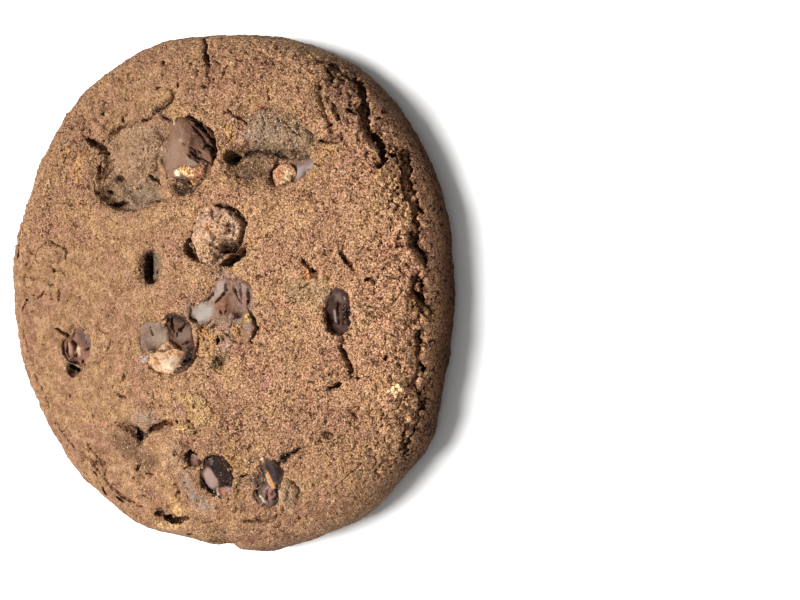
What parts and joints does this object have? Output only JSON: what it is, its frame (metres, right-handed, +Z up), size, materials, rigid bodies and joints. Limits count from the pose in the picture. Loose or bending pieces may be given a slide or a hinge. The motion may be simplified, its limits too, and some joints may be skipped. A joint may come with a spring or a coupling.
{
  "type": "brownie cookie",
  "caption": "Thick round cocoa cookie with a domed sandy top, a split rim, and chocolate chips and melted chocolate set in it.",
  "frame": {"origin": "middle of the flat underside, at the height of the surface that the cookie lies on", "axes": "+Z up through the domed top, +Y along the longer way across, +X to the split side of the rim"},
  "size_m": [0.0743, 0.0818, 0.0165],
  "materials": {
    "baked_dough": "dull, sandy baked cocoa dough",
    "milk_chocolate": "smooth, waxy milk chocolate",
    "melted_chocolate": "melted and set chocolate with a pale bloom",
    "crumbed_chocolate": "chocolate coated in fine crumb",
    "dark_chocolate": "smooth, slightly shiny dark chocolate",
    "golden_crumb": "coarse golden crumb",
    "pale_crumb": "pale cream crumb"
  },
  "bodies": {
    "root": {"cookie_dough": "baked_dough", "chunk_northwest": "milk_chocolate", "melt_northeast": "melted_chocolate", "chip_centre": "crumbed_chocolate", "melt_centre": "melted_chocolate", "chip_melt": "crumbed_chocolate", "crumb_gold": "golden_crumb", "chip_cluster": "dark_chocolate", "melt_cluster": "melted_chocolate", "crumb_cream": "pale_crumb", "chip_east": "dark_chocolate", "chip_west": "milk_chocolate", "chip_south": "dark_chocolate", "chip_southeast": "dark_chocolate", "chip_small": "dark_chocolate", "crumb_ball": "golden_crumb", "base_melt_a": "dark_chocolate", "base_melt_b": "dark_chocolate", "base_melt_c": "dark_chocolate"}
  },
  "joints": []
}
